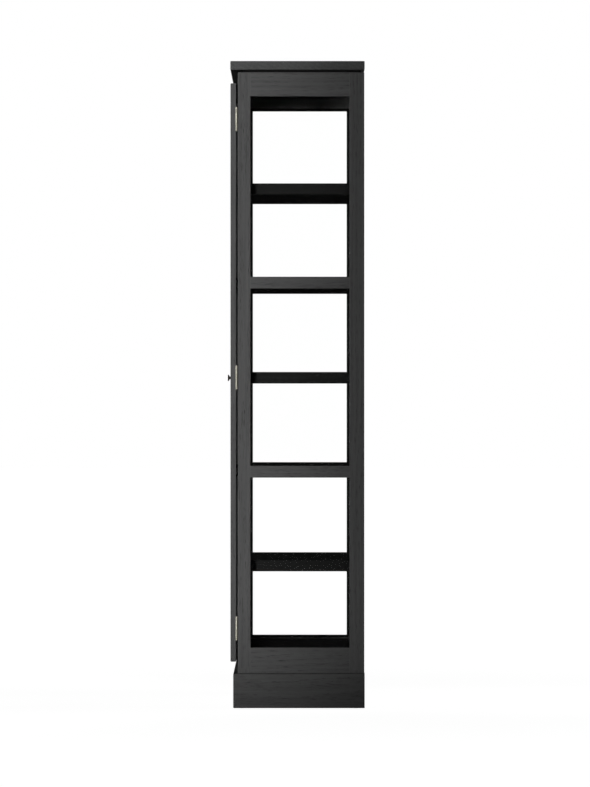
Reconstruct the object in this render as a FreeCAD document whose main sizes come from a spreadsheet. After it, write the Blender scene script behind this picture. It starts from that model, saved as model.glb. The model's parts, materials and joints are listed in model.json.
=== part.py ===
# Tall bookcase with glazed side frames and a pair of glazed doors, in millimetres.
# +X is to the right of someone who faces the doors, the doors face -Y, and the floor is z = 0.
# The right half is modelled, and the left half is its mirror image in the plane x = 0.
import FreeCAD, Part
import os
import re
import Sketcher

Vector = FreeCAD.Vector
Rotation = FreeCAD.Rotation

# Driving sizes: name, millimetres, meaning
SIZES = [
    ("case_width", 1035, "across the outer faces of the two side frames"),
    ("case_depth", 417, "side frame from front to back"),
    ("side_height", 1983, "side frame from foot to head"),
    ("side_thickness", 28, "side frame"),
    ("side_lip", 10, "wood in front of the glass in a side frame"),
    ("front_stile_width", 42, "front stile of a side frame"),
    ("back_stile_width", 49, "back stile of a side frame"),
    ("top_rail_height", 79.5, "top rail of a side frame"),
    ("bottom_rail_height", 85, "bottom rail of a side frame"),
    ("mid_rail_height", 39, "the two rails between the panes, in sides and doors alike"),
    ("case_edge_radius", 2.5, "eased outer edges of the case"),
    ("lite_chamfer", 1.5, "bevel round each glazed opening"),
    ("rebate_width", 9, "rebate that the glass and beads sit in"),
    ("glass_thickness", 4, "panes"),
    ("glass_play", 1, "between a pane's edge and its rebate"),
    ("tenon_length", 24, "rail tenons"),
    ("tenon_shoulder", 2, "between a tenon and the rebates beside it"),
    ("side_tenon_thickness", 9, "tenons of the side rails"),
    ("door_tenon_thickness", 6, "tenons of the door rails"),
    ("joint_play", 0.2, "round a tenon in its mortise"),
    ("glide_height", 1.2, "glide below the plinth"),
    ("glide_radius", 9, "glide"),
    ("glide_inset", 30, "glide's middle from the plinth's outer faces"),
    ("glide_nail_radius", 1.5, "nail of a glide"),
    ("glide_nail_length", 16, "nail of a glide"),
    ("plinth_height", 113.8, "plinth boards"),
    ("plinth_thickness", 22, "plinth boards"),
    ("plinth_reach", 15.4, "plinth proud of the case at the front and the sides"),
    ("plinth_edge_radius", 3.5, "eased outer edges of the plinth"),
    ("block_width", 40, "corner blocks inside the plinth"),
    ("spacer_height", 7, "dark reveal between the case and the top"),
    ("spacer_inset", 12, "spacer in from the faces of the case"),
    ("top_thickness", 29, "top panel"),
    ("top_front_reach", 25, "top panel proud of the case front"),
    ("top_side_reach", 16, "top panel proud of the side frames"),
    ("back_reach", 1, "top panel and plinth proud of the case back"),
    ("top_edge_radius", 3, "eased edges of the top panel"),
    ("front_rail_thickness", 22, "front rails above and below the doors"),
    ("stop_play", 0.4, "between the closed doors and their stops"),
    ("case_top_thickness", 18, "board that closes the case under the spacer"),
    ("floor_thickness", 25, "floor board of the case"),
    ("floor_drop", 12, "floor board below the top of the bottom rails"),
    ("back_thickness", 9, "back panel"),
    ("shelf_thickness", 36.5, "all shelves"),
    ("shelf_setback", 10, "shelf fronts behind the case front"),
    ("shelf_edge_radius", 2, "eased front edges of the shelves"),
    ("shelf_end_play", 1.5, "between a loose shelf and each side"),
    ("shelf_pin_radius", 2.5, "shank of a shelf pin"),
    ("shelf_pin_depth", 10, "shank of a shelf pin in its stile"),
    ("shelf_tab_length", 9, "tab of a shelf pin"),
    ("shelf_tab_width", 10, "tab of a shelf pin"),
    ("shelf_tab_thickness", 2, "tab of a shelf pin"),
    ("front_pin_inset", 18, "front shelf pins behind the case front"),
    ("back_pin_inset", 24, "back shelf pins in front of the case back"),
    ("pin_hole_pitch", 32, "rows of shelf pin holes"),
    ("pin_hole_play", 0.1, "round a shelf pin in its hole"),
    ("door_thickness", 18.5, "doors"),
    ("door_lip", 6, "wood in front of the glass in a door"),
    ("door_stile_width", 45, "stiles of a door"),
    ("door_foot_gap", 38.5, "door above the plinth"),
    ("door_head_gap", 43.7, "door below the top panel"),
    ("door_meeting_gap", 3, "between the two doors"),
    ("door_edge_radius", 1.5, "eased outer edges of the doors"),
    ("door_end_radius", 3.5, "rounded heads and feet of the doors"),
    ("hinge_gap", 6, "between the case front and the closed doors"),
    ("hinge_length", 77, "barrel and leaves of a hinge"),
    ("hinge_leaf_width", 24, "leaf's far edge from the hinge axis"),
    ("leaf_setback", 12, "leaf's near edge from the hinge axis, inside the gap"),
    ("leaf_root_thickness", 1, "tongues that join a leaf to its knuckles"),
    ("leaf_play", 0.5, "between the two leaves of a closed hinge"),
    ("barrel_radius", 2.7, "hinge barrel"),
    ("barrel_lead", 2, "hinge axis in front of the middle of the hinge gap"),
    ("barrel_offset", 3.2, "hinge axis outside the face of the side frame"),
    ("knuckle_play", 0.3, "between neighbouring knuckles"),
    ("hinge_pin_radius", 1.5, "hinge pin"),
    ("hinge_pin_play", 0.05, "running fit of a hinge pin"),
    ("pin_head_radius", 2.2, "head of a hinge pin"),
    ("pin_head_height", 1.2, "head of a hinge pin"),
    ("lower_hinge_rise", 110, "middle of the lower hinge above the door foot"),
    ("upper_hinge_drop", 118.5, "middle of the upper hinge below the door head"),
    ("leaf_screw_radius", 1.6, "hinge screws"),
    ("leaf_screw_head_radius", 3, "hinge screws"),
    ("leaf_screw_length", 14, "hinge screws with their heads"),
    ("leaf_screw_inset", 18, "hinge screws from the hinge axis"),
    ("leaf_screw_pitch", 28, "hinge screws along a leaf"),
    ("screw_play", 0.1, "round a screw in its hole"),
    ("back_screw_radius", 1.75, "screws of the back panel"),
    ("back_screw_head_radius", 3.5, "screws of the back panel"),
    ("back_screw_head_height", 2.5, "screws of the back panel"),
    ("back_screw_length", 35, "screws of the back panel with their heads"),
    ("back_screw_margin", 70, "outer screws of the back panel from the sides"),
    ("knob_reach", 14.6, "knob in front of the door"),
    ("knob_radius", 10.5, "cap of a knob"),
    ("knob_cap_thickness", 3.4, "cap of a knob"),
    ("knob_neck_radius", 4.5, "neck of a knob at the door"),
    ("knob_neck_length", 8.5, "straight part of a knob's neck"),
    ("knob_edge_radius", 1.2, "rounded rim of a knob"),
    ("knob_screw_radius", 2, "screw of a knob"),
    ("knob_screw_bite", 8, "screw inside a knob"),
    ("knob_screw_head_radius", 4, "screw of a knob"),
    ("knob_screw_head_height", 2.4, "screw of a knob"),
    ("magnet_radius", 5, "catch magnets"),
    ("magnet_depth", 12, "catch magnets in the front rail"),
    ("catch_inset", 75, "catches from the middle of the case"),
    ("catch_rise", 22, "catches above the top panes"),
    ("strike_radius", 7, "strikes let into the doors"),
    ("strike_thickness", 1, "strikes let into the doors"),
    ("strike_nail_radius", 1.2, "nail of a strike"),
    ("strike_nail_length", 8, "nail of a strike"),
    ("overrun", 5, "how far a cutting tool reaches past what it cuts"),
]

# Counts
KNUCKLES = 5
LEAF_SCREWS = 3
BACK_SCREWS_IN_A_ROW = 4
PIN_HOLES_IN_A_ROW = 5

# Middles of the mid rails, as shares of the side frame's height
LOWER_RAIL_SHARE = 0.3354
UPPER_RAIL_SHARE = 0.65

# Middles of the loose shelves, as shares of the way up from one side rail to the next
LOWER_SHELF_SHARE = 0.4638
MIDDLE_SHELF_SHARE = 0.4984
UPPER_SHELF_SHARE = 0.5045

# Places that follow from the sizes
PLACES = {
    "half_case": "case_width / 2",
    "side_inner": "half_case - side_thickness",
    "inside_width": "2 * side_inner",
    "case_front": "(knob_reach + door_thickness + hinge_gap - case_depth - back_reach) / 2",
    "case_back": "case_front + case_depth",
    "back_panel_front": "case_back - back_thickness",
    "inside_depth": "case_depth - back_thickness",
    "case_foot": "glide_height + plinth_height",
    "case_head": "case_foot + side_height",
    "top_foot": "case_head + spacer_height",
    "sill": "case_foot + bottom_rail_height",
    "lower_rail": f"case_foot + {LOWER_RAIL_SHARE} * side_height",
    "upper_rail": f"case_foot + {UPPER_RAIL_SHARE} * side_height",
    "lintel": "case_head - top_rail_height",
    "floor_top": "sill - floor_drop",
    "lower_shelf": f"sill + {LOWER_SHELF_SHARE} * (lower_rail - sill)",
    "middle_shelf": f"lower_rail + {MIDDLE_SHELF_SHARE} * (upper_rail - lower_rail)",
    "upper_shelf": f"upper_rail + {UPPER_SHELF_SHARE} * (lintel - upper_rail)",
    "plinth_front": "case_front - plinth_reach",
    "plinth_outer": "half_case + plinth_reach",
    "plinth_inner": "plinth_outer - plinth_thickness",
    "plinth_back": "case_back + back_reach",
    "door_back": "case_front - hinge_gap",
    "door_front": "door_back - door_thickness",
    "stop_front": "door_back + stop_play",
    "door_foot": "case_foot + door_foot_gap",
    "door_head": "top_foot - door_head_gap",
    "door_start": "door_meeting_gap / 2",
    "door_width": "half_case - door_start",
    "hinge_line_x": "half_case + barrel_offset",
    "hinge_line_y": "case_front - hinge_gap / 2 - barrel_lead",
    "leaf_thickness": "(hinge_gap - leaf_play) / 2",
    "knuckle_length": f"(hinge_length - {KNUCKLES - 1} * knuckle_play) / {KNUCKLES}",
    "knob_x": "door_start + door_stile_width / 2",
    "catch_height": "lintel + catch_rise",
}

# Three panes above one another, each from its foot to its head
LITES = [
    ("sill", "lower_rail - mid_rail_height / 2"),
    ("lower_rail + mid_rail_height / 2", "upper_rail - mid_rail_height / 2"),
    ("upper_rail + mid_rail_height / 2", "lintel"),
]
HINGES = {
    "lower": "door_foot + lower_hinge_rise",
    "middle": "middle_shelf",
    "upper": "door_head - upper_hinge_drop",
}
LOOSE_SHELVES = ("lower_shelf", "middle_shelf", "upper_shelf")

# How a piece made along +Z is turned into place
UPRIGHT = Rotation()
SIDEWAYS = Rotation(Vector(0, 0, 1), 90)
TO_BACK = Rotation(Vector(1, 0, 0), -90)
TO_FRONT = Rotation(Vector(1, 0, 0), 90)
TO_RIGHT = Rotation(Vector(0, 1, 0), 90)

SAME_PLACE = 1e-4
NAME = re.compile(r"[a-z][a-z_]+")

doc = FreeCAD.newDocument("Bookcase")
sheet = doc.addObject("Spreadsheet::Sheet", "Sizes")
for row, (alias, millimetres, meaning) in enumerate(SIZES, start=1):
    sheet.set(f"A{row}", alias)
    sheet.set(f"B{row}", str(millimetres))
    sheet.setAlias(f"B{row}", alias)
    sheet.set(f"C{row}", meaning)
doc.recompute()

subparts = []


# Formulas, places and bindings

def formula(text):
    """Writes a formula out for the document, with each size read from the sheet."""
    def look_up(match):
        name = match.group()
        return f"({formula(PLACES[name])})" if name in PLACES else f"Sizes.{name}"
    return NAME.sub(look_up, text)


def value(text):
    """Works a formula out with the numbers that the sheet holds now."""
    def look_up(match):
        name = match.group()
        return f"({value(PLACES[name])})" if name in PLACES else f"({sheet.get(name)})"
    return FreeCAD.Units.Quantity(NAME.sub(look_up, text)).Value


def bind(item, **formulas):
    for name, text in formulas.items():
        item.setExpression(name, formula(text))


def place(item, spot, turned=UPRIGHT):
    item.Placement = FreeCAD.Placement(Vector(), turned)
    for axis, text in zip("xyz", spot):
        item.setExpression(f"Placement.Base.{axis}", formula(text))


def keep(item):
    """Marks an object as one of the pieces that are written out, under its label."""
    subparts.append(item)
    return item


# Solids

def box(name, size, spot, turned=UPRIGHT):
    item = doc.addObject("Part::Box", name)
    bind(item, Length=size[0], Width=size[1], Height=size[2])
    place(item, spot, turned)
    return item


def cylinder(name, radius, height, spot, turned=UPRIGHT):
    item = doc.addObject("Part::Cylinder", name)
    bind(item, Radius=radius, Height=height)
    place(item, spot, turned)
    return item


def cone(name, radius, end_radius, height, spot, turned):
    item = doc.addObject("Part::Cone", name)
    bind(item, Radius1=radius, Radius2=end_radius, Height=height)
    place(item, spot, turned)
    return item


def fuse(name, items):
    item = doc.addObject("Part::MultiFuse", name)
    item.Shapes = items
    item.Refine = True
    return item


def cut(name, base, tools):
    item = doc.addObject("Part::Cut", name)
    item.Base = base
    item.Tool = tools[0] if len(tools) == 1 else group(name + "_tools", tools)
    return item


def group(name, items):
    item = doc.addObject("Part::Compound", name)
    item.Links = items
    return item


def mirror(name, source):
    item = doc.addObject("Part::Mirroring", name)
    item.Source = source
    item.Normal = Vector(1, 0, 0)
    return item


def both_sides(name, items):
    """One node that holds the right pieces and their mirror images."""
    images = [mirror(f"{name}_left_{number}", item) for number, item in enumerate(items)]
    return keep(group(name, items + images))


def keep_pair(name, item):
    """Keeps a right piece and its mirror image as two nodes."""
    item.Label = f"right_{name}"
    keep(item)
    keep(mirror(f"left_{name}", item))


def start_body(name, plane):
    """A body with one sketch on the plane of that role."""
    body = doc.addObject("PartDesign::Body", name)
    sketch = body.newObject("Sketcher::SketchObject", f"{name}_outline")
    origin_plane = [part for part in body.Origin.OriginFeatures if part.Role == plane][0]
    sketch.AttachmentSupport = [(origin_plane, "")]
    sketch.MapMode = "FlatFace"
    return body, sketch


def polygon(sketch, corners):
    """Draws a closed outline whose corners are bound to formulas."""
    points = [Vector(value(x), value(y), 0) for x, y in corners]
    count = len(points)
    for number in range(count):
        sketch.addGeometry(Part.LineSegment(points[number], points[(number + 1) % count]), False)
    for number in range(count):
        sketch.addConstraint(Sketcher.Constraint("Coincident", number, 2, (number + 1) % count, 1))
    for number, (x, y) in enumerate(corners):
        for kind, text, axis in (("DistanceX", x, -2), ("DistanceY", y, -1)):
            if text == "0":
                sketch.addConstraint(Sketcher.Constraint("PointOnObject", number, 1, axis))
                continue
            rule = Sketcher.Constraint(kind, -1, 1, number, 1, value(text))
            sketch.setExpression(f"Constraints[{sketch.addConstraint(rule)}]", formula(text))


def sides_of(edge, whole):
    """Names the faces of a whole's bounding box that an edge lies in."""
    sides = set()
    for axis in "XYZ":
        for end, side in (("Min", "low"), ("Max", "high")):
            limit = getattr(whole, axis + end)
            reach = (getattr(edge, axis + "Min"), getattr(edge, axis + "Max"))
            if all(abs(reached - limit) < SAME_PLACE for reached in reach):
                sides.add(f"{axis.lower()}_{side}")
    return sides


def ease(body, feature, radius, on, off=()):
    """Rounds a feature's edges that lie on one of some sides and on none of the others."""
    doc.recompute()
    chosen = []
    for number, edge in enumerate(feature.Shape.Edges, start=1):
        sides = sides_of(edge.BoundBox, feature.Shape.BoundBox)
        if sides & set(on) and not sides & set(off):
            chosen.append(f"Edge{number}")
    fillet = body.newObject("PartDesign::Fillet", f"{body.Name}_eased")
    fillet.Base = (feature, chosen)
    bind(fillet, Radius=radius)
    return fillet


def board(name, size, spot, turned=UPRIGHT, eased=()):
    """A board padded from its plan and eased: a radius, the sides it is on and the sides it is off."""
    body, sketch = start_body(name, "XY_Plane")
    polygon(sketch, [("0", "0"), (size[0], "0"), (size[0], size[1]), ("0", size[1])])
    pad = body.newObject("PartDesign::Pad", f"{name}_pad")
    pad.Profile = sketch
    bind(pad, Length=size[2])
    feature = pad
    for radius, on, off in eased:
        feature = ease(body, feature, radius, on, off)
    place(body, spot, turned)
    return body


def turning(name, profile, spot, turned=UPRIGHT):
    """A turned piece from its half outline of radius and height."""
    body, sketch = start_body(name, "XZ_Plane")
    polygon(sketch, profile)
    revolution = body.newObject("PartDesign::Revolution", f"{name}_turned")
    revolution.Profile = sketch
    revolution.ReferenceAxis = (sketch, ["V_Axis"])
    revolution.Angle = 360
    place(body, spot, turned)
    return body, revolution


def countersunk(name, kind, head_height, length, spot, turned, play="0"):
    """A countersunk screw, or with some play the hole that it goes in."""
    head = cone(f"{name}_head", f"{kind}_head_radius + {play}", f"{kind}_radius + {play}",
                head_height, ("0", "0", "0"), UPRIGHT)
    shank = cylinder(f"{name}_shank", f"{kind}_radius + {play}", f"{length} - ({head_height}) + {play}",
                     ("0", "0", head_height))
    screw = fuse(name, [head, shank])
    place(screw, spot, turned)
    return screw


# Glazed frames

class Panel:
    """A glazed frame: u runs along it, and depth runs in from its outer face."""

    def __init__(self, name, x, y, turned, **sizes):
        self.name = name
        self.x = x
        self.y = y
        self.turned = turned
        self.width = sizes["width"]
        self.thickness = sizes["thickness"]
        self.lip = sizes["lip"]
        self.first = sizes["first"]
        self.second = sizes["second"]
        self.foot = sizes["foot"]
        self.head = sizes["head"]
        self.tenon = sizes["tenon"]
        self.clear = f"({self.width} - {self.first} - {self.second})"
        self.rails = {
            "bottom": (self.foot, LITES[0][0]),
            "lower": (LITES[0][1], LITES[1][0]),
            "upper": (LITES[1][1], LITES[2][0]),
            "top": (LITES[2][1], self.head),
        }

    def spot(self, u, depth, z):
        if self.turned is SIDEWAYS:
            return f"{self.x} - ({depth})", f"{self.y} + {u}", z
        return f"{self.x} + {u}", f"{self.y} + {depth}", z

    def block(self, name, size, u, depth, z):
        return box(f"{self.name}_{name}", size, self.spot(u, depth, z), self.turned)

    def lite_tools(self, member):
        """Cuts the rebates behind the glass and the bevels round the openings."""
        tools = []
        for number, (low, high) in enumerate(LITES):
            clear_height = f"({high}) - ({low})"
            tools.append(self.block(
                f"{member}_rebate_{number}",
                (f"{self.clear} + 2 * rebate_width", f"{self.thickness} - {self.lip} + overrun",
                 f"{clear_height} + 2 * rebate_width"),
                f"{self.first} - rebate_width", self.lip, f"{low} - rebate_width"))
            bevel = doc.addObject("Part::Wedge", f"{self.name}_{member}_bevel_{number}")
            bind(bevel, Ymin="0 - overrun", Ymax="lite_chamfer")
            bind(bevel, Xmin="0 - lite_chamfer - overrun", Xmax=f"{self.clear} + lite_chamfer + overrun")
            bind(bevel, Zmin="0 - lite_chamfer - overrun", Zmax=f"{clear_height} + lite_chamfer + overrun")
            bind(bevel, X2min="0", X2max=self.clear, Z2min="0", Z2max=clear_height)
            place(bevel, self.spot(self.first, "0", low), self.turned)
            tools.append(bevel)
        return tools

    def mortises(self, member, u):
        """Cuts the sockets for the rail tenons, each starting at u."""
        tools = []
        for rail, (low, high) in self.rails.items():
            foot = f"{low} + rebate_width + tenon_shoulder - joint_play"
            head = f"{high} - rebate_width - tenon_shoulder + joint_play"
            tools.append(self.block(
                f"{member}_{rail}_mortise",
                ("tenon_length + joint_play + overrun", f"{self.tenon} + 2 * joint_play",
                 f"{head} - ({foot})"),
                u, f"{self.lip} - joint_play", foot))
        return tools

    def stile(self, name, u, width, tools, eased):
        blank = board(f"{self.name}_{name}_blank", (width, self.thickness, f"{self.head} - ({self.foot})"),
                      self.spot(u, "0", self.foot), self.turned, eased)
        return cut(f"right_{name}", blank, self.lite_tools(name) + tools)

    def first_stile(self, name, tools, eased):
        sockets = self.mortises(name, f"{self.first} - tenon_length - joint_play")
        return self.stile(name, "0", self.first, sockets + tools, eased)

    def second_stile(self, name, tools, eased):
        start = f"{self.width} - {self.second}"
        sockets = self.mortises(name, f"{start} - overrun")
        return self.stile(name, start, self.second, sockets + tools, eased)

    def rail(self, name, rail, tools=(), eased=()):
        low, high = self.rails[rail]
        blank = board(f"{self.name}_{name}_blank", (self.clear, self.thickness, f"{high} - ({low})"),
                      self.spot(self.first, "0", low), self.turned, eased)
        foot = f"{low} + rebate_width + tenon_shoulder"
        head = f"{high} - rebate_width - tenon_shoulder"
        size = (f"{self.clear} + 2 * tenon_length", self.tenon, f"{head} - ({foot})")
        tenons = self.block(f"{name}_tenons", size, f"{self.first} - tenon_length", self.lip, foot)
        joined = fuse(f"{self.name}_{name}_joined", [blank, tenons])
        return cut(f"right_{name}", joined, self.lite_tools(name) + list(tools))

    def panes(self):
        return [self.block(
            f"pane_{number}",
            (f"{self.clear} + 2 * (rebate_width - glass_play)", "glass_thickness",
             f"{high} - ({low}) + 2 * (rebate_width - glass_play)"),
            f"{self.first} - rebate_width + glass_play", self.lip, f"{low} - rebate_width + glass_play")
            for number, (low, high) in enumerate(LITES)]

    def beads(self):
        """Four strips round the inside of each pane."""
        depth = f"{self.lip} + glass_thickness"
        thickness = f"{self.thickness} - ({depth})"
        strips = []
        for number, (low, high) in enumerate(LITES):
            across = (f"{self.clear} + 2 * rebate_width", thickness, "rebate_width")
            upright = ("rebate_width", thickness, f"{high} - ({low})")
            start = f"{self.first} - rebate_width"
            end = f"{self.first} + {self.clear}"
            strips.append(self.block(f"foot_bead_{number}", across, start, depth, f"{low} - rebate_width"))
            strips.append(self.block(f"head_bead_{number}", across, start, depth, high))
            strips.append(self.block(f"first_bead_{number}", upright, start, depth, low))
            strips.append(self.block(f"second_bead_{number}", upright, end, depth, low))
        return strips


# Hinges

def leaf_screw_spots(height, y):
    """Places of a leaf's screws, evenly spaced about its middle."""
    middle = (LEAF_SCREWS - 1) / 2
    return [("hinge_line_x - leaf_screw_inset", y, f"{height} + {number - middle} * leaf_screw_pitch")
            for number in range(LEAF_SCREWS)]


def hinge_leaf(name, height, y, knuckles, screw_face, turned):
    """A leaf with its own knuckles on thin tongues, bored for the pin and countersunk for its screws."""
    foot = f"{height} - hinge_length / 2"
    pieces = [box(f"{name}_plate", ("hinge_leaf_width - leaf_setback", "leaf_thickness", "hinge_length"),
                  ("hinge_line_x - hinge_leaf_width", y, foot))]
    for number in knuckles:
        start = f"{foot} + {number} * (knuckle_length + knuckle_play)"
        pieces.append(cylinder(f"{name}_knuckle_{number}", "barrel_radius", "knuckle_length",
                               ("hinge_line_x", "hinge_line_y", start)))
        pieces.append(box(f"{name}_root_{number}", ("leaf_setback", "leaf_root_thickness", "knuckle_length"),
                          ("hinge_line_x - leaf_setback", y, start)))
    tools = [cylinder(f"{name}_bore", "hinge_pin_radius + hinge_pin_play", "hinge_length + 2 * overrun",
                      ("hinge_line_x", "hinge_line_y", f"{foot} - overrun"))]
    for number, spot in enumerate(leaf_screw_spots(height, screw_face)):
        tools.append(cone(f"{name}_sink_{number}", "leaf_screw_head_radius + screw_play",
                          "leaf_screw_radius + screw_play", "leaf_thickness", spot, turned))
    return cut(name, fuse(f"{name}_joined", pieces), tools)


def leaf_screws(name, height, screw_face, turned):
    return [countersunk(f"{name}_{number}", "leaf_screw", "leaf_thickness", "leaf_screw_length",
                        spot, turned)
            for number, spot in enumerate(leaf_screw_spots(height, screw_face))]


def leaf_pilots(name, height, wood_face, turned):
    """Holes for a leaf's screws in the wood under it."""
    return [cylinder(f"{name}_{number}", "leaf_screw_radius + screw_play",
                     "leaf_screw_length - leaf_thickness + screw_play", spot, turned)
            for number, spot in enumerate(leaf_screw_spots(height, wood_face))]


frame_leaves = []
door_leaves = []
frame_screws = []
door_screws = []
frame_pilots = []
door_pilots = []
hinge_pins = []
FRAME_KNUCKLES = range(0, KNUCKLES, 2)
DOOR_KNUCKLES = range(1, KNUCKLES, 2)
for hinge, height in HINGES.items():
    frame_leaf_face = "case_front - leaf_thickness"
    door_leaf_face = "door_back + leaf_thickness"
    frame_leaves.append(hinge_leaf(f"{hinge}_frame_leaf", height, frame_leaf_face, FRAME_KNUCKLES,
                                   frame_leaf_face, TO_BACK))
    door_leaves.append(hinge_leaf(f"{hinge}_door_leaf", height, "door_back", DOOR_KNUCKLES,
                                  door_leaf_face, TO_FRONT))
    frame_screws += leaf_screws(f"{hinge}_frame_screw", height, frame_leaf_face, TO_BACK)
    door_screws += leaf_screws(f"{hinge}_door_screw", height, door_leaf_face, TO_FRONT)
    frame_pilots += leaf_pilots(f"{hinge}_frame_pilot", height, "case_front", TO_BACK)
    door_pilots += leaf_pilots(f"{hinge}_door_pilot", height, "door_back", TO_FRONT)
    pin, _ = turning(f"{hinge}_pin", [
        ("0", "0"), ("hinge_pin_radius", "0"), ("hinge_pin_radius", "hinge_length"),
        ("pin_head_radius", "hinge_length"), ("pin_head_radius", "hinge_length + pin_head_height"),
        ("0", "hinge_length + pin_head_height"),
    ], ("hinge_line_x", "hinge_line_y", f"{height} - hinge_length / 2"))
    hinge_pins.append(pin)

both_sides("frame_hinge_leaves", frame_leaves)
both_sides("frame_hinge_screws", frame_screws)
both_sides("hinge_pins", hinge_pins)
keep_pair("door_hinge_leaves", group("right_door_hinge_leaves", door_leaves))
keep_pair("door_hinge_screws", group("right_door_hinge_screws", door_screws))


# Shelf pins: a round shank in the stile under a flat tab

PIN_ROWS = {"front": "case_front + front_pin_inset", "back": "case_back - back_pin_inset"}
shelf_pins = []
pin_holes = {"front": [], "back": []}
for row, y in PIN_ROWS.items():
    for shelf in LOOSE_SHELVES:
        name = f"{row}_{shelf}_pin"
        tab_top = f"{shelf} - shelf_thickness / 2"
        pin_line = f"{tab_top} - shelf_tab_thickness - shelf_pin_radius / 2"
        tab = box(f"{name}_tab", ("shelf_tab_length", "shelf_tab_width", "shelf_tab_thickness"),
                  ("side_inner - shelf_tab_length", f"{y} - shelf_tab_width / 2",
                   f"{tab_top} - shelf_tab_thickness"))
        shank = cylinder(f"{name}_shank", "shelf_pin_radius", "shelf_pin_depth + shelf_tab_length",
                         ("side_inner - shelf_tab_length", y, pin_line), TO_RIGHT)
        shelf_pins.append(fuse(name, [tab, shank]))
        for number in range(PIN_HOLES_IN_A_ROW):
            step = number - (PIN_HOLES_IN_A_ROW - 1) // 2
            pin_holes[row].append(cylinder(
                f"{name}_hole_{number}", "shelf_pin_radius + pin_hole_play",
                "overrun + shelf_pin_depth + pin_hole_play",
                ("side_inner - overrun", y, f"{pin_line} + {step} * pin_hole_pitch"), TO_RIGHT))
both_sides("shelf_pins", shelf_pins)


# Side frames

side = Panel("side", "half_case", "case_front", SIDEWAYS, width="case_depth", thickness="side_thickness",
             lip="side_lip", first="front_stile_width", second="back_stile_width",
             foot="case_foot", head="case_head", tenon="side_tenon_thickness")
FRONT_STILE_EASED = [("case_edge_radius", ("x_low", "z_low", "z_high"), ("x_high", "y_high"))]
BACK_STILE_EASED = [("case_edge_radius", ("x_high", "z_low", "z_high"), ("x_low", "y_high"))]
TOP_RAIL_EASED = [("case_edge_radius", ("z_high",), ("x_low", "x_high", "y_high"))]
BOTTOM_RAIL_EASED = [("case_edge_radius", ("z_low",), ("x_low", "x_high", "y_high"))]
keep_pair("front_stile", side.first_stile("front_stile", frame_pilots + pin_holes["front"],
                                          FRONT_STILE_EASED))
keep_pair("back_stile", side.second_stile("back_stile", pin_holes["back"], BACK_STILE_EASED))
keep_pair("top_rail", side.rail("top_rail", "top", eased=TOP_RAIL_EASED))
keep_pair("bottom_rail", side.rail("bottom_rail", "bottom", eased=BOTTOM_RAIL_EASED))
keep_pair("mid_rails", group("right_mid_rails", [side.rail("lower_mid_rail", "lower"),
                                                 side.rail("upper_mid_rail", "upper")]))
both_sides("side_panes", side.panes())
both_sides("side_beads", side.beads())


# Top panel on its recessed spacer

top_depth = "top_front_reach + case_depth + back_reach"
keep(board("top_panel", ("case_width + 2 * top_side_reach", top_depth, "top_thickness"),
           ("0 - half_case - top_side_reach", "case_front - top_front_reach", "top_foot"),
           eased=[("top_edge_radius", ("x_low", "x_high", "y_low", "y_high"), ())]))
keep(box("top_spacer", ("case_width - 2 * spacer_inset", "case_depth - 2 * spacer_inset", "spacer_height"),
         ("0 - half_case + spacer_inset", "case_front + spacer_inset", "case_head")))


# Boards between the sides, with the screws that hold the back panel to them

def back_screw_row(name, z, play):
    """A row of screws, or of their holes, driven forwards from the back panel."""
    reach = "(side_inner - back_screw_margin)"
    step = f"2 * {reach} / {BACK_SCREWS_IN_A_ROW - 1}"
    return [countersunk(f"{name}_{number}", "back_screw", "back_screw_head_height", "back_screw_length",
                        (f"{number} * {step} - {reach}", "case_back", z), TO_FRONT, play)
            for number in range(BACK_SCREWS_IN_A_ROW)]


SHELF_EASED = [("shelf_edge_radius", ("y_low",), ("x_low", "x_high"))]
INSIDE_BOARDS = {
    "case_top": ("case_head - case_top_thickness", "case_top_thickness", "front_rail_thickness", ()),
    "upper_fixed_shelf": ("upper_rail - shelf_thickness / 2", "shelf_thickness", "shelf_setback",
                          SHELF_EASED),
    "lower_fixed_shelf": ("lower_rail - shelf_thickness / 2", "shelf_thickness", "shelf_setback",
                          SHELF_EASED),
    "case_floor": ("floor_top - floor_thickness", "floor_thickness", "front_rail_thickness", ()),
}
back_screws = []
back_holes = []
for name, (foot, thickness, setback, eased) in INSIDE_BOARDS.items():
    middle = f"{foot} + {thickness} / 2"
    back_screws += back_screw_row(f"{name}_screw", middle, "0")
    holes = back_screw_row(f"{name}_hole", middle, "screw_play")
    blank = board(f"{name}_blank", ("inside_width", f"inside_depth - {setback}", thickness),
                  ("0 - side_inner", f"case_front + {setback}", foot), eased=eased)
    keep(cut(name, blank, holes))
    back_holes += holes
keep(group("back_screws", back_screws))
back_blank = board("back_panel_blank", ("inside_width", "back_thickness", "side_height"),
                   ("0 - side_inner", "back_panel_front", "case_foot"))
keep(cut("back_panel", back_blank, back_holes))

for shelf in LOOSE_SHELVES:
    keep(board(shelf, ("inside_width - 2 * shelf_end_play", "inside_depth - shelf_setback - shelf_end_play",
                       "shelf_thickness"),
               ("shelf_end_play - side_inner", "case_front + shelf_setback",
                f"{shelf} - shelf_thickness / 2"), eased=SHELF_EASED))


# Front rails and the door stops on them, with the catch magnets let into the upper ones

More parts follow.
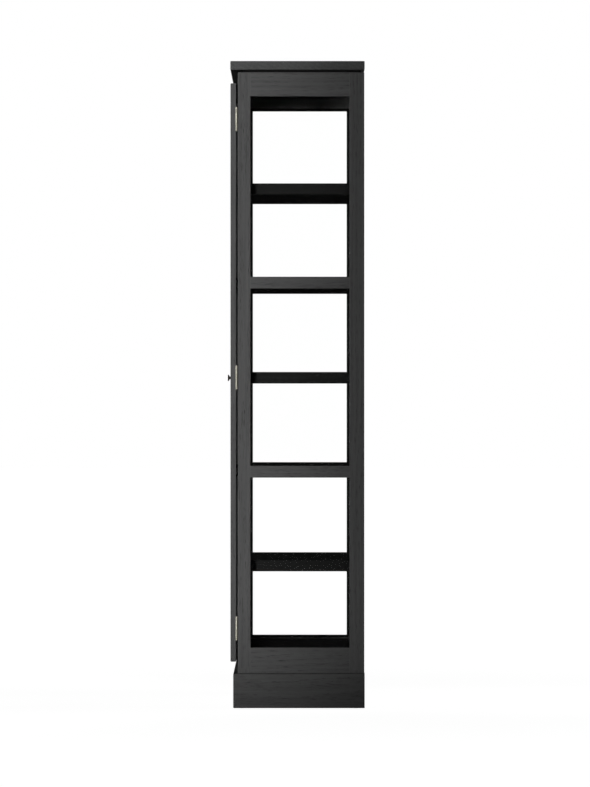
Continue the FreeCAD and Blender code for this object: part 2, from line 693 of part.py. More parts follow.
stop_thickness = "case_front - stop_front"
magnet_length = f"{stop_thickness} + magnet_depth"
magnet = cylinder("catch_magnet", "magnet_radius", magnet_length,
                  ("catch_inset", "stop_front", "catch_height"), TO_BACK)
both_sides("catch_magnets", [magnet])
magnet_hole = cylinder("catch_magnet_hole", "magnet_radius + screw_play", f"{magnet_length} + overrun",
                       ("catch_inset", "stop_front - overrun", "catch_height"), TO_BACK)
magnet_holes = [magnet_hole, mirror("catch_magnet_hole_left", magnet_hole)]
front_top_blank = board("front_top_rail_blank", ("inside_width", "front_rail_thickness", "top_rail_height"),
                        ("0 - side_inner", "case_front", "lintel"))
keep(cut("front_top_rail", front_top_blank, magnet_holes))
keep(board("front_bottom_rail", ("inside_width", "front_rail_thickness", "bottom_rail_height"),
           ("0 - side_inner", "case_front", "case_foot")))
upper_stop_blank = board("upper_stop_blank", ("inside_width", stop_thickness, "door_head - lintel"),
                         ("0 - side_inner", "stop_front", "lintel"))
upper_stop = cut("upper_stop", upper_stop_blank, magnet_holes)
lower_stop = board("lower_stop", ("inside_width", stop_thickness, "sill - door_foot"),
                   ("0 - side_inner", "stop_front", "door_foot"))
keep(group("door_stops", [upper_stop, lower_stop]))


# Plinth, corner blocks and glides

plinth_depth = "plinth_back - plinth_front"
plinth_end = board("plinth_end", ("plinth_thickness", plinth_depth, "plinth_height"),
                   ("plinth_inner", "plinth_front", "glide_height"),
                   eased=[("plinth_edge_radius", ("x_high", "y_low"), ("x_low",))])
both_sides("plinth_ends", [plinth_end])
keep(board("plinth_front", ("2 * plinth_inner", "plinth_thickness", "plinth_height"),
           ("0 - plinth_inner", "plinth_front", "glide_height"),
           eased=[("plinth_edge_radius", ("y_low",), ("x_low", "x_high"))]))
keep(board("plinth_back", ("2 * plinth_inner", "plinth_thickness", "plinth_height"),
           ("0 - plinth_inner", "plinth_back - plinth_thickness", "glide_height")))

BLOCKS = {
    "front": ("plinth_front + plinth_thickness", "plinth_front + glide_inset"),
    "back": ("plinth_back - plinth_thickness - block_width", "plinth_back - glide_inset"),
}
blocks = []
glides = []
for row, (y, glide_y) in BLOCKS.items():
    glide_x = "plinth_outer - glide_inset"
    nail_top = "glide_height + glide_nail_length"
    blank = board(f"{row}_block_blank", ("block_width", "block_width", "plinth_height"),
                  ("plinth_inner - block_width", y, "glide_height"))
    nail_hole = cylinder(f"{row}_nail_hole", "glide_nail_radius + screw_play",
                         "glide_nail_length + overrun", (glide_x, glide_y, "glide_height - overrun"))
    blocks.append(cut(f"{row}_block", blank, [nail_hole]))
    glide, _ = turning(f"{row}_glide", [
        ("0", "0"), ("glide_radius - glide_height / 2", "0"), ("glide_radius", "glide_height / 2"),
        ("glide_radius", "glide_height"), ("glide_nail_radius", "glide_height"),
        ("glide_nail_radius", nail_top), ("0", nail_top),
    ], (glide_x, glide_y, "0"))
    glides.append(glide)
both_sides("plinth_blocks", blocks)
both_sides("glides", glides)


# Doors

knob, knob_turned = turning("right_door_knob_blank", [
    ("0", "0"), ("knob_neck_radius", "0"), ("knob_neck_radius", "knob_neck_length"),
    ("knob_radius", "knob_reach - knob_cap_thickness"), ("knob_radius", "knob_reach"), ("0", "knob_reach"),
], ("knob_x", "door_front", "middle_shelf"), TO_FRONT)
ease(knob, knob_turned, "knob_edge_radius", ("z_high",))
knob_bore = cylinder("knob_bore", "knob_screw_radius + screw_play",
                     "knob_screw_bite + screw_play + overrun",
                     ("knob_x", "door_front + overrun", "middle_shelf"), TO_FRONT)
keep_pair("door_knob", cut("right_door_knob", knob, [knob_bore]))
head_end = "knob_screw_head_height"
tip = "knob_screw_head_height + door_thickness + knob_screw_bite"
knob_screw, _ = turning("right_door_knob_screw", [
    ("0", "0"), ("knob_screw_head_radius", "0"), ("knob_screw_head_radius", head_end),
    ("knob_screw_radius", head_end), ("knob_screw_radius", tip), ("0", tip),
], ("knob_x", "door_back + knob_screw_head_height", "middle_shelf"), TO_FRONT)
keep_pair("door_knob_screw", knob_screw)
knob_hole = cylinder("knob_hole", "knob_screw_radius + screw_play", "door_thickness + 2 * overrun",
                     ("knob_x", "door_back + overrun", "middle_shelf"), TO_FRONT)

strike_tip = "strike_thickness + strike_nail_length"
strike, _ = turning("right_door_strike", [
    ("0", "0"), ("strike_radius", "0"), ("strike_radius", "strike_thickness"),
    ("strike_nail_radius", "strike_thickness"), ("strike_nail_radius", strike_tip), ("0", strike_tip),
], ("catch_inset", "door_back", "catch_height"), TO_FRONT)
keep_pair("door_strike", strike)
strike_mouth = ("catch_inset", "door_back + overrun", "catch_height")
strike_holes = [
    cylinder("strike_recess", "strike_radius + screw_play", "strike_thickness + overrun",
             strike_mouth, TO_FRONT),
    cylinder("strike_nail_hole", "strike_nail_radius + screw_play", f"{strike_tip} + screw_play + overrun",
             strike_mouth, TO_FRONT),
]

door = Panel("door", "door_start", "door_front", UPRIGHT, width="door_width", thickness="door_thickness",
             lip="door_lip", first="door_stile_width", second="door_stile_width",
             foot="door_foot", head="door_head", tenon="door_tenon_thickness")
STILE_ENDS = ("door_end_radius", ("z_low", "z_high"), ("x_low", "x_high"))
MEETING_STILE_EASED = [STILE_ENDS, ("door_edge_radius", ("x_low",), ())]
HINGE_STILE_EASED = [STILE_ENDS, ("door_edge_radius", ("x_high",), ())]
DOOR_HEAD_EASED = [("door_end_radius", ("z_high",), ("x_low", "x_high"))]
DOOR_FOOT_EASED = [("door_end_radius", ("z_low",), ("x_low", "x_high"))]
keep_pair("door_meeting_stile", door.first_stile("door_meeting_stile", [knob_hole], MEETING_STILE_EASED))
keep_pair("door_hinge_stile", door.second_stile("door_hinge_stile", door_pilots, HINGE_STILE_EASED))
keep_pair("door_top_rail", door.rail("door_top_rail", "top", strike_holes, DOOR_HEAD_EASED))
keep_pair("door_bottom_rail", door.rail("door_bottom_rail", "bottom", eased=DOOR_FOOT_EASED))
keep_pair("door_mid_rails", group("right_door_mid_rails", [door.rail("door_lower_mid_rail", "lower"),
                                                           door.rail("door_upper_mid_rail", "upper")]))
keep_pair("door_panes", group("right_door_panes", door.panes()))
keep_pair("door_beads", group("right_door_beads", door.beads()))


# Every object has to be sound before any piece is written

doc.recompute()
for item in doc.Objects:
    if {"Invalid", "Error"} & set(item.State):
        raise RuntimeError(f"{item.Name} failed to compute")
for item in subparts:
    if item.Shape.isNull() or not item.Shape.isValid() or not item.Shape.Solids:
        raise RuntimeError(f"{item.Label} has no sound shape")

os.makedirs("parts", exist_ok=True)
for item in subparts:
    item.Shape.exportStep(f"parts/{item.Label}.step")
    print(f"{item.Label}: {len(item.Shape.Solids)} solids, {item.Shape.Volume:.0f} cubic mm")
print(f"{len(subparts)} pieces")
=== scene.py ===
import json
import math
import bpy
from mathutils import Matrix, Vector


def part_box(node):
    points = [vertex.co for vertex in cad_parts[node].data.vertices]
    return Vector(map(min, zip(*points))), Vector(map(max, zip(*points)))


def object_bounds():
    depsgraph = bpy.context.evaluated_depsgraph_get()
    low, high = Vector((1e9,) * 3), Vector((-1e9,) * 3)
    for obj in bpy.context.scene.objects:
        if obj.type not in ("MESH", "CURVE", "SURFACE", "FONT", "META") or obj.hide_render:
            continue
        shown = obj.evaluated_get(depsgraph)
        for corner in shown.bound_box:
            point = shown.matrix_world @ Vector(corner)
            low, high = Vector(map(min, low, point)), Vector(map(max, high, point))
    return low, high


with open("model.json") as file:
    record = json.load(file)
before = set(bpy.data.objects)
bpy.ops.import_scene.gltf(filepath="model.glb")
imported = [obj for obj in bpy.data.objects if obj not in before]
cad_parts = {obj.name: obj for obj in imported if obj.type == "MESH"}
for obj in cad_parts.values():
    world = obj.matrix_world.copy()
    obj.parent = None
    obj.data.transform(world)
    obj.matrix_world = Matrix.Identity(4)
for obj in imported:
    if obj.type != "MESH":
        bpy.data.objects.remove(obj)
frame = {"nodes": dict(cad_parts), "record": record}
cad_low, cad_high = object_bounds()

import zlib

import bpy
from mathutils import Vector

# Looks of a tall glazed bookcase: finishes, light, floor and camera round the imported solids, in metres.
# +X is to the right of someone who faces the doors, the doors face -Y, and the floor is z = 0.

nodes = frame["nodes"]
WHITE = (1, 1, 1, 1)

# The usual ranges of a noise and of clouds, whose ends give the two extremes of what they drive
NOISE_RANGE = (0.3, 0.7)
CLOUD_RANGE = (0.35, 0.7)

# Cosines between a face and the grain that make it a sawn end, and between a rounded edge and its face that
# make it a rubbed one, each from not at all to wholly
END_GRAIN_COSINES = (0.6, 0.9)
WORN_EDGE_COSINES = (0.99, 0.80)


def feed(tree, socket, value):
    """Links a socket to another one, or sets it to a value."""
    if isinstance(value, bpy.types.NodeSocket):
        tree.links.new(value, socket)
    else:
        socket.default_value = value


def wire(tree, kind, inputs=None, **settings):
    """A new shading node with its settings and inputs."""
    made = tree.nodes.new(kind)
    for key, value in settings.items():
        setattr(made, key, value)
    for key, value in (inputs or {}).items():
        feed(tree, made.inputs[key], value)
    return made


class Finish:
    """One material, built node by node with short calls."""

    def __init__(self, name):
        self.material = bpy.data.materials.new(name)
        self.material.use_nodes = True
        self.tree = self.material.node_tree
        self.surface = self.tree.nodes["Principled BSDF"]
        self.output = self.tree.nodes["Material Output"]

    def add(self, kind, inputs=None, **settings):
        return wire(self.tree, kind, inputs, **settings)

    def set(self, **inputs):
        """Sets the shader's own sockets: base_color=... is the socket Base Color."""
        by_key = {socket.name.lower().replace(" ", "_"): socket for socket in self.surface.inputs}
        for key, value in inputs.items():
            feed(self.tree, by_key[key], value)

    def place(self, turned=(0, 0, 0), moved=(0, 0, 0)):
        """Coordinates of the piece at rest, turned and moved."""
        where = self.add("ShaderNodeTexCoord").outputs["Object"]
        mapping = self.add("ShaderNodeMapping", {"Vector": where, "Rotation": turned, "Location": moved})
        return mapping.outputs[0]

    def multiply(self, vector, factors):
        """Coordinates or a colour, each of the three times its own factor."""
        return self.add("ShaderNodeVectorMath", {0: vector, 1: factors}, operation="MULTIPLY").outputs[0]

    def cosine(self, first, second):
        """Of the angle between two directions."""
        made = self.add("ShaderNodeVectorMath", {0: first, 1: second}, operation="DOT_PRODUCT")
        return made.outputs["Value"]

    def noise(self, where, scale=1.0, detail=2.0, roughness=0.5, output="Fac"):
        inputs = {"Vector": where, "Scale": scale, "Detail": detail, "Roughness": roughness}
        return self.add("ShaderNodeTexNoise", inputs).outputs[output]

    def span(self, value, low, high, to_low=0.0, to_high=1.0):
        """Carries the range from low to high over to another one, and stops at its ends."""
        inputs = {"Value": value, "From Min": low, "From Max": high, "To Min": to_low, "To Max": to_high}
        return self.add("ShaderNodeMapRange", inputs).outputs[0]

    def math(self, operation, first, second):
        return self.add("ShaderNodeMath", {0: first, 1: second}, operation=operation).outputs[0]

    def blend(self, share, first, second):
        """Two colours mixed. A mix of colours has them in sockets 6 and 7, and its result in output 2."""
        return self.add("ShaderNodeMix", {0: share, 6: first, 7: second}, data_type="RGBA").outputs[2]

    def bump(self, height, depth, strength=1.0, over=None):
        inputs = {"Height": height, "Distance": depth, "Strength": strength}
        if over is not None:
            inputs["Normal"] = over
        return self.add("ShaderNodeBump", inputs).outputs[0]

    def end_grain(self, axis):
        """1 on the sawn ends of a board, 0 on its long faces."""
        facing = self.add("ShaderNodeTexCoord").outputs["Normal"]
        along = self.math("ABSOLUTE", self.cosine(facing, axis), 0.0)
        return self.span(along, *END_GRAIN_COSINES)

    def worn_edges(self, width):
        """0 on flat faces, towards 1 on edges, where a finish rubs thin and the wood has a painted
        highlight.
        """
        rounded = self.add("ShaderNodeBevel", {"Radius": width}, samples=4).outputs[0]
        flat = self.add("ShaderNodeNewGeometry").outputs["Normal"]
        return self.span(self.cosine(rounded, flat), *WORN_EDGE_COSINES)


# Stained oak: its colours, and how fine its figure is across and along the grain. RING_BEND is how far the
# rings wander, and BOARD_SHIFT how far the figure moves from board to board
WOOD_DARK = (0.056, 0.056, 0.056, 1)
WOOD_LIGHT = (0.080, 0.080, 0.080, 1)
WOOD_PORE = (0.030, 0.030, 0.030, 1)
# The pale of rubbed edges, which also stands in as a painted highlight along them
WOOD_WORN_HIGHLIGHT = (0.100, 0.099, 0.097, 1)
RING_SCALE = 26.0
RING_BEND_SIZE = (7.0, 7.0, 1.6)
RING_BEND = (0.055, 0.055, 0.0)
FIBRE_SIZE = (620.0, 620.0, 9.0)
STREAK_SIZE = (95.0, 95.0, 2.2)
TONE_SIZE = (9.0, 9.0, 1.0)
PORE_SIZE = (900.0, 900.0, 34.0)
BOARD_SHIFT = (0.137, 0.211, 0.731)

# How the figure's own axis, Z, is turned to the grain, and the direction of the grain
TURN_TO_GRAIN = {"X": (0, -math.pi / 2, 0), "Y": (math.pi / 2, 0, 0), "Z": (0, 0, 0)}
GRAIN_AXIS = {"X": (1, 0, 0), "Y": (0, 1, 0), "Z": (0, 0, 1)}

# Pores are the peaks of their noise. They crowd in the early wood of a ring, with fewer in its late wood
PORE_RANGE = (0.60, 0.70)
EARLY_TO_LATE = (0.35, 0.75)
LATE_PORES = 0.25

# How much streaks, tone and rings lighten the wood
STREAK_SHARE = 0.5
TONE_SHARE = 0.3
RING_SHARE = 0.2

# Rubbed edges, which also carry a painted highlight: their width, and how unevenly they pale, from one end
# of the streaks to the other
WORN_HIGHLIGHT_WIDTH = 0.0022
WORN_HIGHLIGHT_RANGE = (0.35, 0.65)
WORN_HIGHLIGHT_SHARE = (0.25, 0.9)

# How rough the wood is, and how deep its relief
WOOD_ROUGHNESS = (0.52, 0.66)
PORE_ROUGHNESS = 0.2
PORE_DEPTH = 0.00025
FIBRE_DEPTH = 0.00012
RING_DEPTH = 0.00010


def stained_wood(name, grain, sheen, painted_shade, end_stain):
    """Open-pored oak under a near-black stain, grain along one axis of the piece, and painted shade where
    given.
    """
    finish = Finish(name)
    seed = zlib.crc32(name.encode()) % 1000
    digits = (seed % 10, seed // 10 % 10, seed // 100)
    wood = finish.place(TURN_TO_GRAIN[grain], [step * digit for step, digit in zip(BOARD_SHIFT, digits)])

    # The log's rings, bent slowly along the board
    bend = finish.noise(finish.multiply(wood, RING_BEND_SIZE), detail=1.5, output="Color")
    bend = finish.multiply(bend, RING_BEND)
    bent = finish.add("ShaderNodeVectorMath", {0: wood, 1: bend}, operation="ADD").outputs[0]
    rings = finish.add(
        "ShaderNodeTexWave",
        {"Vector": bent, "Scale": RING_SCALE, "Distortion": 1.2, "Detail": 2.0, "Detail Scale": 2.0},
        wave_type="RINGS", rings_direction="Z", wave_profile="SAW").outputs["Fac"]

    # Streaks of fibre, pores and broad differences of tone
    fibre = finish.noise(finish.multiply(wood, FIBRE_SIZE), detail=3.0, roughness=0.6)
    streak = finish.noise(finish.multiply(wood, STREAK_SIZE), detail=3.0, roughness=0.6)
    tone = finish.noise(finish.multiply(wood, TONE_SIZE), detail=2.0)
    pore_field = finish.noise(finish.multiply(wood, PORE_SIZE), detail=1.0)
    early = finish.span(rings, *EARLY_TO_LATE, 1.0, LATE_PORES)
    pores = finish.math("MULTIPLY", finish.span(pore_field, *PORE_RANGE), early)

    # Colour: streaks, tone and rings make it lighter, pores darker, and edges pale as wear and painted
    # highlight
    lightness = finish.span(streak, *NOISE_RANGE, 0.0, STREAK_SHARE)
    lightness = finish.math("ADD", lightness, finish.span(tone, *NOISE_RANGE, 0.0, TONE_SHARE))
    lightness = finish.math("ADD", lightness, finish.span(rings, 0.0, 1.0, 0.0, RING_SHARE))
    colour = finish.blend(lightness, WOOD_DARK, WOOD_LIGHT)
    colour = finish.blend(pores, colour, WOOD_PORE)
    worn = finish.worn_edges(WORN_HIGHLIGHT_WIDTH)
    worn = finish.math("MULTIPLY", worn, finish.span(streak, *WORN_HIGHLIGHT_RANGE, *WORN_HIGHLIGHT_SHARE))
    colour = finish.blend(worn, colour, WOOD_WORN_HIGHLIGHT)
    # Painted shade: a piece in the shadow gap or behind the glass is darkened as a whole
    colour = finish.multiply(colour, (painted_shade, painted_shade, painted_shade))
    # Painted shade on the sawn ends of the shelves, which stand in shade behind the glass
    if end_stain < 1.0:
        sawn = finish.end_grain(GRAIN_AXIS[grain])
        colour = finish.multiply(colour, finish.span(sawn, 0.0, 1.0, 1.0, end_stain))

    # Sheen and relief
    gloss = finish.span(fibre, *NOISE_RANGE, *WOOD_ROUGHNESS)
    gloss = finish.math("ADD", gloss, finish.math("MULTIPLY", pores, PORE_ROUGHNESS))
    relief = finish.bump(finish.math("SUBTRACT", 1.0, pores), PORE_DEPTH, strength=0.55)
    relief = finish.bump(fibre, FIBRE_DEPTH, strength=0.35, over=relief)
    relief = finish.bump(rings, RING_DEPTH, strength=0.25, over=relief)
    finish.set(base_color=colour, roughness=gloss, normal=relief, specular_ior_level=sheen)
    return finish.material


# Clear glass: how it bends and mirrors light, its waves, what passes a face, and the green of its edges
GLASS_IOR = 1.45
GLASS_MIRROR = (0.02, 0.02, 0.02, 1)
GLASS_WAVE_SIZE = (4.0, 4.0, 2.5)
GLASS_WAVE_DEPTH = 0.0002
GLASS_LETS_THROUGH = (0.90, 0.91, 0.90, 1)
GLASS_EDGE_GREEN = (0.70, 0.92, 0.84, 1)
GLASS_EDGE_DENSITY = 1.2


def clear_glass(name):
    """Float glass, faintly uneven, with a trace of green along its edges. The lamps shine through it."""
    finish = Finish(name)
    waves = finish.noise(finish.multiply(finish.place(), GLASS_WAVE_SIZE), detail=3.0)
    finish.set(base_color=WHITE, transmission_weight=1.0, ior=GLASS_IOR, specular_tint=GLASS_MIRROR,
               roughness=0.0, normal=finish.bump(waves, GLASS_WAVE_DEPTH))
    rays = finish.add("ShaderNodeLightPath").outputs
    lighting = finish.math("MAXIMUM", rays["Is Shadow Ray"], rays["Is Diffuse Ray"])
    pane = finish.surface.outputs[0]
    clear = finish.add("ShaderNodeBsdfTransparent", {"Color": GLASS_LETS_THROUGH}).outputs[0]
    choice = finish.add("ShaderNodeMixShader", {0: lighting, 1: pane, 2: clear})
    tint = {"Color": GLASS_EDGE_GREEN, "Density": GLASS_EDGE_DENSITY}
    depth = finish.add("ShaderNodeVolumeAbsorption", tint)
    feed(finish.tree, finish.output.inputs["Surface"], choice.outputs[0])
    feed(finish.tree, finish.output.inputs["Volume"], depth.outputs[0])
    return finish.material


# Hinges and shelf pins: pale brass, how fine its tarnish and brushing are, and how rough and deep they are
BRASS_BRIGHT = (0.205, 0.200, 0.170, 1)
BRASS_TARNISHED = (0.158, 0.153, 0.125, 1)
BRASS_CLOUDS = 130.0
BRASS_BRUSH_SIZE = (300.0, 300.0, 9000.0)
BRASS_ROUGHNESS = (0.40, 0.54)
BRASS_DEPTH = 0.00003


def pale_brass(name):
    """Brushed pale brass, brushed round the hinge line, a little tarnished."""
    finish = Finish(name)
    where = finish.place()
    brushed = finish.noise(finish.multiply(where, BRASS_BRUSH_SIZE), detail=2.0)
    clouds = finish.noise(where, BRASS_CLOUDS, detail=4.0)
    colour = finish.blend(finish.span(clouds, *CLOUD_RANGE), BRASS_BRIGHT, BRASS_TARNISHED)
    gloss = finish.span(brushed, *NOISE_RANGE, *BRASS_ROUGHNESS)
    relief = finish.bump(brushed, BRASS_DEPTH, strength=0.3)
    finish.set(base_color=colour, metallic=1.0, roughness=gloss, normal=relief)
    return finish.material


# Knobs: dark bronze with a clouded patina, and its bare rim
BRONZE_DARK = (0.022, 0.019, 0.016, 1)
BRONZE_PALE = (0.040, 0.033, 0.026, 1)
BRONZE_CLOUDS = 220.0
BRONZE_METALLIC = 0.85
BRONZE_ROUGHNESS = (0.30, 0.46)
RIM_COLOUR = (0.16, 0.12, 0.075, 1)
RIM_WIDTH = 0.0008
RIM_SHARE = (0.2, 0.8)


def dark_bronze(name):
    """Turned knob, patinated almost black, with the metal showing faintly at its rim."""
    finish = Finish(name)
    clouds = finish.noise(finish.place(), BRONZE_CLOUDS, detail=4.0)
    colour = finish.blend(finish.span(clouds, *CLOUD_RANGE), BRONZE_DARK, BRONZE_PALE)
    worn = finish.worn_edges(RIM_WIDTH)
    worn = finish.math("MULTIPLY", worn, finish.span(clouds, *NOISE_RANGE, *RIM_SHARE))
    colour = finish.blend(worn, colour, RIM_COLOUR)
    gloss = finish.span(clouds, *NOISE_RANGE, *BRONZE_ROUGHNESS)
    finish.set(base_color=colour, metallic=BRONZE_METALLIC, roughness=gloss)
    return finish.material


# Screws of back and knobs, magnets and strikes: zinc-plated steel, and how fine its clouds and crystals are
ZINC_DARK = (0.50, 0.50, 0.49, 1)
ZINC_PALE = (0.62, 0.62, 0.60, 1)
ZINC_CLOUDS = 160.0
BLOOM_SCALE = 900.0
BLOOM_RANGE = (0.0, 0.6)
ZINC_ROUGHNESS = (0.26, 0.42)
ZINC_DEPTH = 0.00002


def zinc_steel(name):
    """Zinc-plated steel with its fine crystal bloom."""
    finish = Finish(name)
    where = finish.place()
    bloom = finish.add("ShaderNodeTexVoronoi", {"Vector": where, "Scale": BLOOM_SCALE}).outputs["Distance"]
    clouds = finish.noise(where, ZINC_CLOUDS, detail=3.0)
    colour = finish.blend(finish.span(clouds, *NOISE_RANGE), ZINC_DARK, ZINC_PALE)
    gloss = finish.span(bloom, *BLOOM_RANGE, *ZINC_ROUGHNESS)
    relief = finish.bump(clouds, ZINC_DEPTH, strength=0.3)
    finish.set(base_color=colour, metallic=1.0, roughness=gloss, normal=relief)
    return finish.material


# Glides: black nylon, and how fine its clouds and its skin are
NYLON_DARK = (0.014, 0.014, 0.014, 1)
NYLON_PALE = (0.024, 0.024, 0.024, 1)
NYLON_CLOUDS = 120.0
NYLON_SKIN = 2200.0
NYLON_ROUGHNESS = (0.5, 0.65)
NYLON_SHEEN = 0.4
NYLON_DEPTH = 0.00004


def black_nylon(name):
    """Moulded nylon with a fine matt texture."""
    finish = Finish(name)
    where = finish.place()
    skin = finish.noise(where, NYLON_SKIN, detail=2.0)
    clouds = finish.noise(where, NYLON_CLOUDS, detail=3.0)
    colour = finish.blend(clouds, NYLON_DARK, NYLON_PALE)
    gloss = finish.span(clouds, *NOISE_RANGE, *NYLON_ROUGHNESS)
    relief = finish.bump(skin, NYLON_DEPTH, strength=0.4)
    finish.set(base_color=colour, roughness=gloss, specular_ior_level=NYLON_SHEEN, normal=relief)
    return finish.material


# Every slot but those of wood has one finish, which its pieces share
OTHER_FINISHES = {"clear_glass": clear_glass, "hinge_brass": pale_brass, "dark_bronze": dark_bronze,
                  "steel": zinc_steel, "black_nylon": black_nylon}

# Which way the grain of each wooden piece runs, by the ending of its name, and the exceptions
GRAIN_BY_ENDING = {
    "stile": "Z", "top_rail": "Y", "bottom_rail": "Y", "mid_rails": "Y", "beads": "Z",
    "panel": "X", "spacer": "X", "shelf": "X", "floor": "X", "case_top": "X",
    "front": "X", "back": "X", "ends": "Y", "blocks": "Z", "stops": "X",
}
GRAIN_BY_NAME = {"front_top_rail": "X", "front_bottom_rail": "X", "back_panel": "Z"}

# The frames of the sides and doors have a faint sheen, and the other boards are left matt
SATIN_PIECES = ("stile", "right_top_rail", "left_top_rail", "bottom_rail", "mid_rails", "door_top_rail")
SATIN_LEVEL = 0.03

# Painted shade, by the ending of a name: the spacer in the shadow gap and the pieces behind the glass are
# darkened
PAINTED_SHADE_BY_ENDING = {
    "spacer": 0.10, "shelf": 0.42, "floor": 0.30, "case_top": 0.30, "back_panel": 0.70, "beads": 0.12,
}

# The shelves' sawn ends are darkened more, as painted shade for the ends that stand in shade behind the
# glass
SHADED_END_PIECES = ("shelf",)
END_PAINTED_SHADE = 0.52


def grain_of(name):
    """The axis of a piece's grain, by the longest ending that fits. A door's rails lie across the front."""
    if name in GRAIN_BY_NAME:
        return GRAIN_BY_NAME[name]
    endings = [ending for ending in GRAIN_BY_ENDING if name.endswith(ending)]
    grain = GRAIN_BY_ENDING[max(endings, key=len)]
    return "X" if "_door_" in name and grain == "Y" else grain


def dress_nodes():
    """Gives every solid its finish, by the slot that the record names for it."""
    shared = {slot: make(slot) for slot, make in OTHER_FINISHES.items()}
    slots = {part["node"]: part["material_slot"] for part in frame["record"]["subparts"]}
    for name, node in nodes.items():
        slot = slots[name]
        if slot in shared:
            material = shared[slot]
        else:
            satin = not name.startswith("front_") and name.endswith(SATIN_PIECES)
            sheen = SATIN_LEVEL if satin else 0.0
            # Painted shade for the pieces in the shadow gap and behind the glass, none for the rest
            painted_shade = next((tone for ending, tone in PAINTED_SHADE_BY_ENDING.items() if name.endswith(ending)), 1.0)
            # More painted shade on the shelves' sawn ends
            end_stain = END_PAINTED_SHADE if name.endswith(SHADED_END_PIECES) else 1.0
            material = stained_wood(f"{slot}_{name}", grain_of(name), sheen, painted_shade, end_stain)
        node.data.materials.clear()
        node.data.materials.append(material)


def background_rays(tree):
    """1 for a ray that shows the white background, 0 for one that lights something."""
    rays = wire(tree, "ShaderNodeLightPath").outputs
    share = rays["Is Camera Ray"]
    for name in ("Is Glossy Ray", "Is Transmission Ray"):
        share = wire(tree, "ShaderNodeMath", {0: share, 1: rays[name]}, operation="MAXIMUM").outputs[0]
    # A ray that has come off a matt surface only carries light
    direct = wire(tree, "ShaderNodeMath", {0: rays["Diffuse Depth"], 1: 0.5}, operation="LESS_THAN")
    both = wire(tree, "ShaderNodeMath", {0: share, 1: direct.outputs[0]}, operation="MULTIPLY")
    return both.outputs[0]


# The soft light from all round
AMBIENT_LIGHT = 0.035


def make_world():
    """White wherever it is seen, and a soft even light elsewhere."""
    world = bpy.data.worlds.new("studio")
    world.use_nodes = True
    bpy.context.scene.world = world
    tree = world.node_tree
    soft = tree.nodes["Background"]
    soft.inputs["Color"].default_value = WHITE
    soft.inputs["Strength"].default_value = AMBIENT_LIGHT
    white = wire(tree, "ShaderNodeBackground", {"Color": WHITE, "Strength": 1.0})
    seen = background_rays(tree)
    choice = wire(tree, "ShaderNodeMixShader", {0: seen, 1: soft.outputs[0], 2: white.outputs[0]})
    feed(tree, tree.nodes["World Output"].inputs["Surface"], choice.outputs[0])


# Floor: how white it looks near the object and far away, over which distances that changes, the grey that
# takes the shadow, how far it lies below the feet, and half its side
FLOOR_GLOW_NEAR = 0.96
FLOOR_GLOW_FAR = 1.0
GLOW_REACH = (0.9, 3.0)
FLOOR_GREY = (0.25, 0.25, 0.25, 1)
FLOOR_DROP = 0.0004
FLOOR_HALF = 60.0


def make_floor():
    """A white floor that still takes the object's soft shadow."""
    signs = ((-1, -1), (1, -1), (1, 1), (-1, 1))
    corners = [(x * FLOOR_HALF, y * FLOOR_HALF, -FLOOR_DROP) for x, y in signs]
    mesh = bpy.data.meshes.new("floor")
    mesh.from_pydata(corners, [], [(0, 1, 2, 3)])
    floor = bpy.data.objects.new("floor", mesh)
    bpy.context.scene.collection.objects.link(floor)
    finish = Finish("floor_white")
    tree = finish.tree
    tree.nodes.remove(finish.surface)
    paint = finish.add("ShaderNodeBsdfDiffuse", {"Color": FLOOR_GREY})
    away = finish.add("ShaderNodeVectorMath", {0: finish.place()}, operation="LENGTH").outputs["Value"]
    strength = finish.span(away, *GLOW_REACH, FLOOR_GLOW_NEAR, FLOOR_GLOW_FAR)
    glow = finish.add("ShaderNodeEmission", {"Strength": strength})
    lit = finish.add("ShaderNodeAddShader", {0: paint.outputs[0], 1: glow.outputs[0]})
    seen = background_rays(tree)
    choice = finish.add("ShaderNodeMixShader", {0: seen, 1: paint.outputs[0], 2: lit.outputs[0]})
    feed(tree, finish.output.inputs["Surface"], choice.outputs[0])
    mesh.materials.append(finish.material)


# Tall strips of light off the front corners, weaker ones off the back corners, and where they are aimed
STRIP_FOOT = 0.02
STRIP_HEAD = 2.60
STRIP_WIDTH = 0.60
STRIP_OUT = 2.18
STRIP_AHEAD = 1.48
STRIP_AIM_Y = -0.286
STRIP_BEAM = 18.0
STRIP_POWER = 6.75
REAR_STRIP_AIM_Y = 0.36
REAR_STRIP_POWER = 0.9

# Lamps before, over and behind the object
FRONT_AWAY = 4.0
FRONT_RISE = 0.6
FRONT_WIDTH = 0.9
FRONT_POWER = 7.0
FRONT_BEAM = 22.0
OVERHEAD_RISE = 1.2
OVERHEAD_SIZE = (1.0, 0.4)
OVERHEAD_POWER = 6.0
OVERHEAD_BEAM = 180.0
BEHIND_AWAY = 2.0
BEHIND_SIZE = (1.2, 2.0)
BEHIND_POWER = 14.0
BEHIND_BEAM = 80.0


def softbox(name, place, target, size, power, beam):
    """A rectangular lamp that lights the object but isn't seen itself. Its beam is an angle in degrees."""
    data = bpy.data.lights.new(name, "AREA")
    data.shape = "RECTANGLE"
    data.size, data.size_y = size
    data.energy = power
    data.spread = math.radians(beam)
    lamp = bpy.data.objects.new(name, data)
    lamp.location = place
    lamp.rotation_euler = (Vector(target) - Vector(place)).to_track_quat("-Z", "Y").to_euler()
    lamp.visible_camera = False
    lamp.visible_transmission = False
    bpy.context.scene.collection.objects.link(lamp)


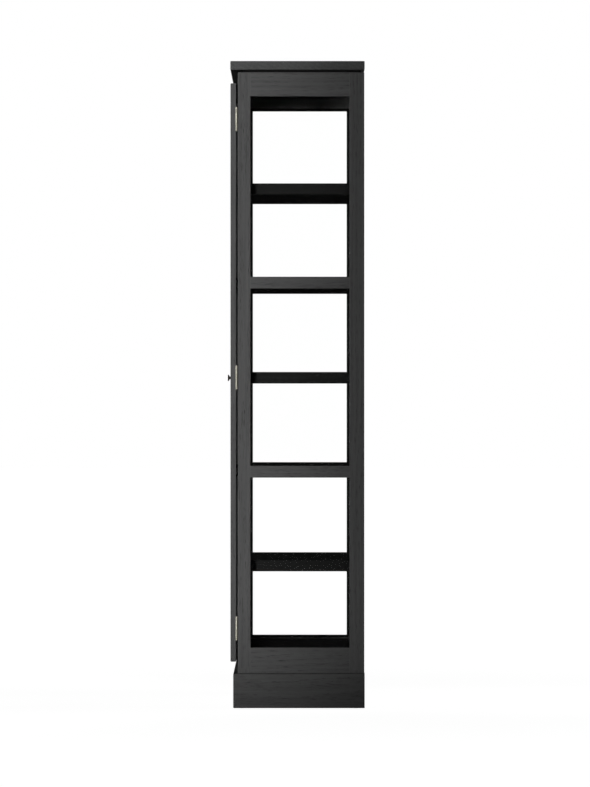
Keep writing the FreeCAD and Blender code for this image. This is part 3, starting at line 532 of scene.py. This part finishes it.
def make_lights():
    """Strips with a level beam along the two sides, and softer lamps before, behind and over the object."""
    middle = (STRIP_FOOT + STRIP_HEAD) / 2
    height = STRIP_HEAD - STRIP_FOOT
    size = (STRIP_WIDTH, height)
    for name, side in (("right_strip", 1), ("left_strip", -1)):
        out = side * (cad_high.x + STRIP_OUT)
        place = (out, cad_low.y - STRIP_AHEAD, middle)
        target = (side * cad_high.x, STRIP_AIM_Y, middle)
        softbox(name, place, target, size, STRIP_POWER, STRIP_BEAM)
        place = (out, cad_high.y + STRIP_AHEAD, middle)
        target = (side * cad_high.x, REAR_STRIP_AIM_Y, middle)
        softbox(f"{name}_rear", place, target, size, REAR_STRIP_POWER, STRIP_BEAM)
    heart = (0, 0, middle)
    place = (0, cad_low.y - FRONT_AWAY, middle + FRONT_RISE)
    softbox("front", place, heart, (FRONT_WIDTH, height), FRONT_POWER, FRONT_BEAM)
    place = (0, 0, cad_high.z + OVERHEAD_RISE)
    softbox("overhead", place, (0, 0, cad_high.z), OVERHEAD_SIZE, OVERHEAD_POWER, OVERHEAD_BEAM)
    place = (0, cad_high.y + BEHIND_AWAY, middle)
    softbox("behind", place, heart, BEHIND_SIZE, BEHIND_POWER, BEHIND_BEAM)


# The photograph: its height in pixels, a pixel's real size on the near side frame, and where its middle lies
PHOTO_HEIGHT_PX = 787
METRES_PER_PIXEL = 0.003298
PHOTO_MIDDLE_Y = -0.0011
PHOTO_MIDDLE_Z = 1.0382

# The camera's distance from that side frame, how far it sees, and its sensor
CAMERA_DISTANCE = 19.05
CAMERA_REACH = 200.0
SENSOR_MM = 36.0


def make_camera():
    """Looks straight at the right side frame, as the photograph does."""
    side_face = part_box("right_front_stile")[1].x
    data = bpy.data.cameras.new("camera")
    data.sensor_width = SENSOR_MM
    data.lens = SENSOR_MM * CAMERA_DISTANCE / (PHOTO_HEIGHT_PX * METRES_PER_PIXEL)
    data.clip_end = CAMERA_REACH
    camera = bpy.data.objects.new("camera", data)
    camera.location = (side_face + CAMERA_DISTANCE, PHOTO_MIDDLE_Y, PHOTO_MIDDLE_Z)
    camera.rotation_euler = (math.pi / 2, 0, math.pi / 2)
    bpy.context.scene.collection.objects.link(camera)
    bpy.context.scene.camera = camera


dress_nodes()
make_world()
make_floor()
make_lights()
make_camera()
bpy.context.scene.view_settings.view_transform = "Standard"
